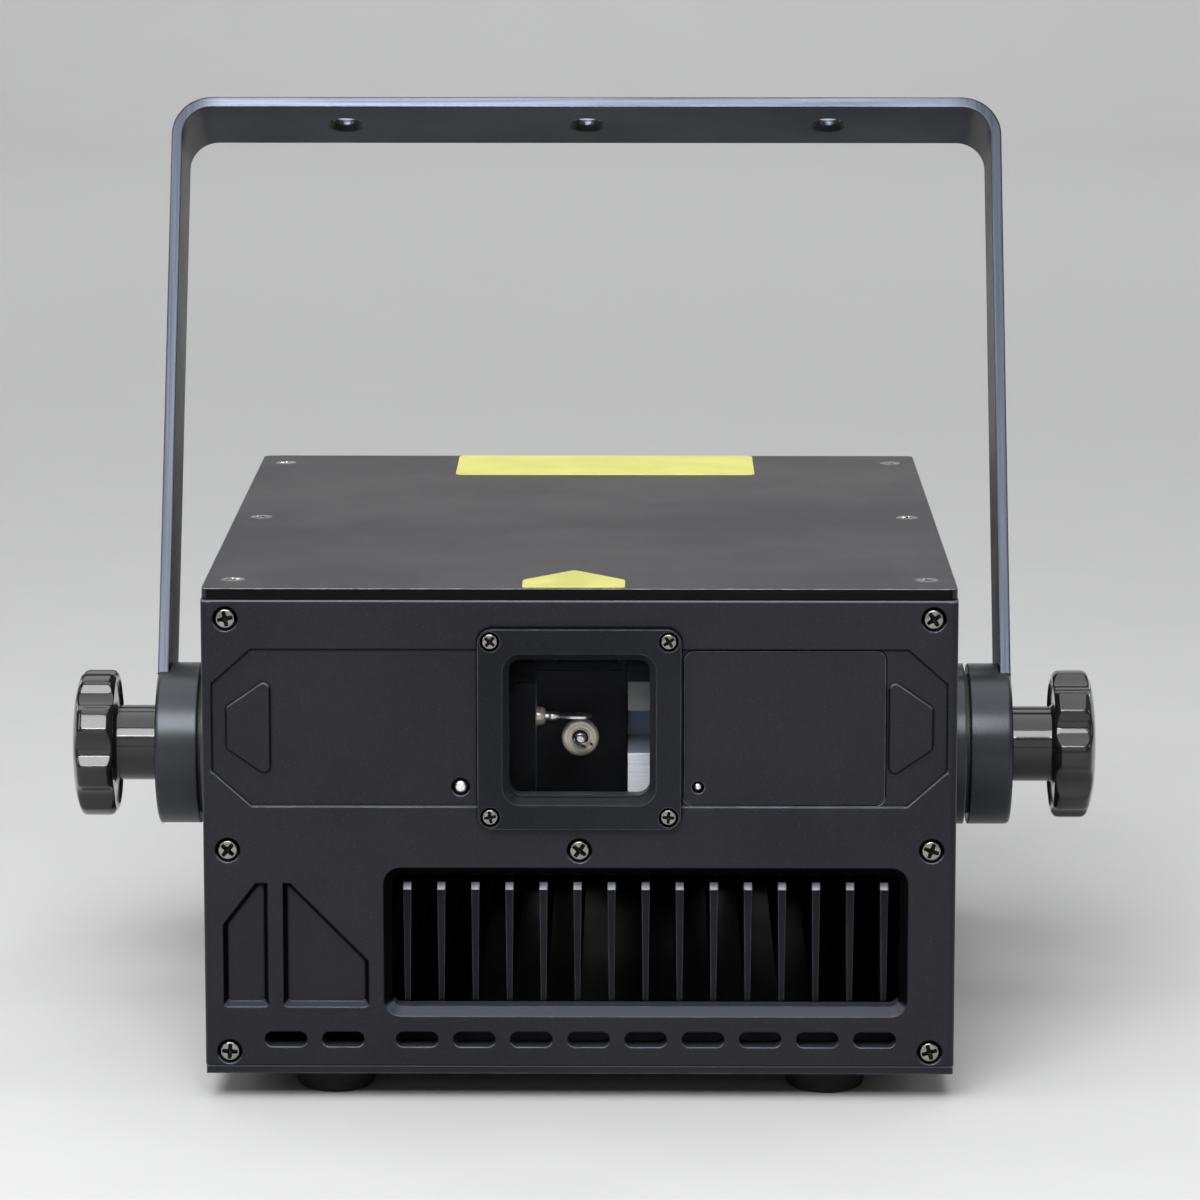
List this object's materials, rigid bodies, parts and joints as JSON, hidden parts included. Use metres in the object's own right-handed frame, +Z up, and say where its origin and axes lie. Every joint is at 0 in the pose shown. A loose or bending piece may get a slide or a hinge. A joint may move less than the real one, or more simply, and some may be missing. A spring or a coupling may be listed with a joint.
{
  "type": "laser show projector",
  "caption": "Box-shaped stage laser projector with a square beam window, hanging-fin heat sink, vent slots and rubber feet, tilting in a flat bar yoke clamped by lobed knobs.",
  "frame": {"origin": "middle of the bounding box at the plane on which the feet stand", "axes": "+X to the right of someone facing the window, -Y out of the window, +Z up"},
  "size_m": [0.3814, 0.335, 0.3301],
  "materials": {
    "black_metal": "satin black anodised",
    "yoke_metal": "satin black powder coat, bright edges",
    "steel": "plain steel screws",
    "bright_steel": "polished",
    "rubber": "matte black",
    "glass": "clear coated pane",
    "gloss_black": "gloss black moulded",
    "matte_black": "matte black moulded",
    "aluminium": "bare milled",
    "mirror": "coated mirror",
    "brass": "turned brass",
    "board": "green circuit board",
    "display": "dark display on its board"
  },
  "bodies": {
    "housing": {"base_plate": "black_metal", "left_side_wall": "black_metal", "right_side_wall": "black_metal", "front_panel": "black_metal", "rear_panel": "black_metal", "top_cover": "black_metal", "window_bezel": "black_metal", "front_cover_plate": "black_metal", "scanner_block": "black_metal", "heat_sink": "black_metal", "pivot_collars": "black_metal", "panel_screws": "steel", "countersunk_screws": "steel", "small_screws": "steel", "foot_screws": "steel", "collar_screws": "steel", "galvo_motors": "steel", "fan_guards": "steel", "safety_bridge": "steel", "show_data_socket": "steel", "key_switch": "steel", "front_pins": "bright_steel", "rubber_feet": "rubber", "window_gasket": "rubber", "window_glass": "glass", "fan_frames": "matte_black", "power_inlet": "matte_black", "rocker_frame": "matte_black", "signal_input": "matte_black", "signal_output": "matte_black", "interlock_socket": "matte_black", "optical_bench": "aluminium", "scanner_side_plate": "aluminium", "laser_modules": "aluminium", "beam_mirror_mounts": "aluminium", "power_supply": "aluminium", "beam_mirrors": "mirror", "board_standoffs": "brass", "circuit_boards": "board", "menu_display": "display"},
    "yoke": {"yoke_bracket": "yoke_metal", "yoke_bosses": "black_metal", "friction_washers": "matte_black"},
    "left_clamp": {"left_knob": "gloss_black", "left_knob_stud": "steel"},
    "right_clamp": {"right_knob": "gloss_black", "right_knob_stud": "steel"},
    "front_scan": {"front_shaft": "steel", "front_mirror": "mirror"},
    "side_scan": {"side_shaft": "steel", "side_mirror": "mirror"},
    "left_fan": {"left_fan_rotor": "matte_black"},
    "right_fan": {"right_fan_rotor": "matte_black"},
    "key": {"key_barrel": "bright_steel"},
    "switch": {"rocker": "gloss_black"},
    "button_1": {"menu_button_1": "matte_black"},
    "button_2": {"menu_button_2": "matte_black"},
    "button_3": {"menu_button_3": "matte_black"},
    "button_4": {"menu_button_4": "matte_black"}
  },
  "joints": [
    {"name": "yoke_tilt", "type": "hinge", "parent": "housing", "child": "yoke", "pos_m": [0, -0.0045, 0.0955], "axis": [-1, 0, 0], "range_deg": [-205, 155]},
    {"name": "left_clamp_turn", "type": "hinge", "parent": "housing", "child": "left_clamp", "pos_m": [-0.1585, -0.0045, 0.0955], "axis": [-1, 0, 0], "range_deg": [0, 180]},
    {"name": "right_clamp_turn", "type": "hinge", "parent": "housing", "child": "right_clamp", "pos_m": [0.1585, -0.0045, 0.0955], "axis": [1, 0, 0], "range_deg": [0, 180]},
    {"name": "front_scan_turn", "type": "hinge", "parent": "housing", "child": "front_scan", "pos_m": [-0.0002, -0.1195, 0.1202], "axis": [0, 1, 0], "range_deg": [-20, 20]},
    {"name": "side_scan_turn", "type": "hinge", "parent": "housing", "child": "side_scan", "pos_m": [-0.0122, -0.1275, 0.1296], "axis": [-1, 0, 0], "range_deg": [-5, 55]},
    {"name": "left_fan_spin", "type": "hinge", "parent": "housing", "child": "left_fan", "pos_m": [-0.012, 0.1265, 0.048], "axis": [0, 1, 0], "continuous": true},
    {"name": "right_fan_spin", "type": "hinge", "parent": "housing", "child": "right_fan", "pos_m": [0.057, 0.1265, 0.048], "axis": [0, 1, 0], "continuous": true},
    {"name": "key_turn", "type": "hinge", "parent": "housing", "child": "key", "pos_m": [0.088, 0.1555, 0.15], "axis": [0, 1, 0], "range_deg": [0, 90]},
    {"name": "switch_rock", "type": "hinge", "parent": "housing", "child": "switch", "pos_m": [-0.09, 0.1575, 0.066], "axis": [0, 0, 1], "range_deg": [0, 21]},
    {"name": "button_1_press", "type": "slide", "parent": "housing", "child": "button_1", "axis": [0, -1, 0], "range_m": [0, 0.0012], "stiffness_N_per_m": 400, "springref_m": -0.002},
    {"name": "button_2_press", "type": "slide", "parent": "housing", "child": "button_2", "axis": [0, -1, 0], "range_m": [0, 0.0012], "stiffness_N_per_m": 400, "springref_m": -0.002},
    {"name": "button_3_press", "type": "slide", "parent": "housing", "child": "button_3", "axis": [0, -1, 0], "range_m": [0, 0.0012], "stiffness_N_per_m": 400, "springref_m": -0.002},
    {"name": "button_4_press", "type": "slide", "parent": "housing", "child": "button_4", "axis": [0, -1, 0], "range_m": [0, 0.0012], "stiffness_N_per_m": 400, "springref_m": -0.002}
  ]
}
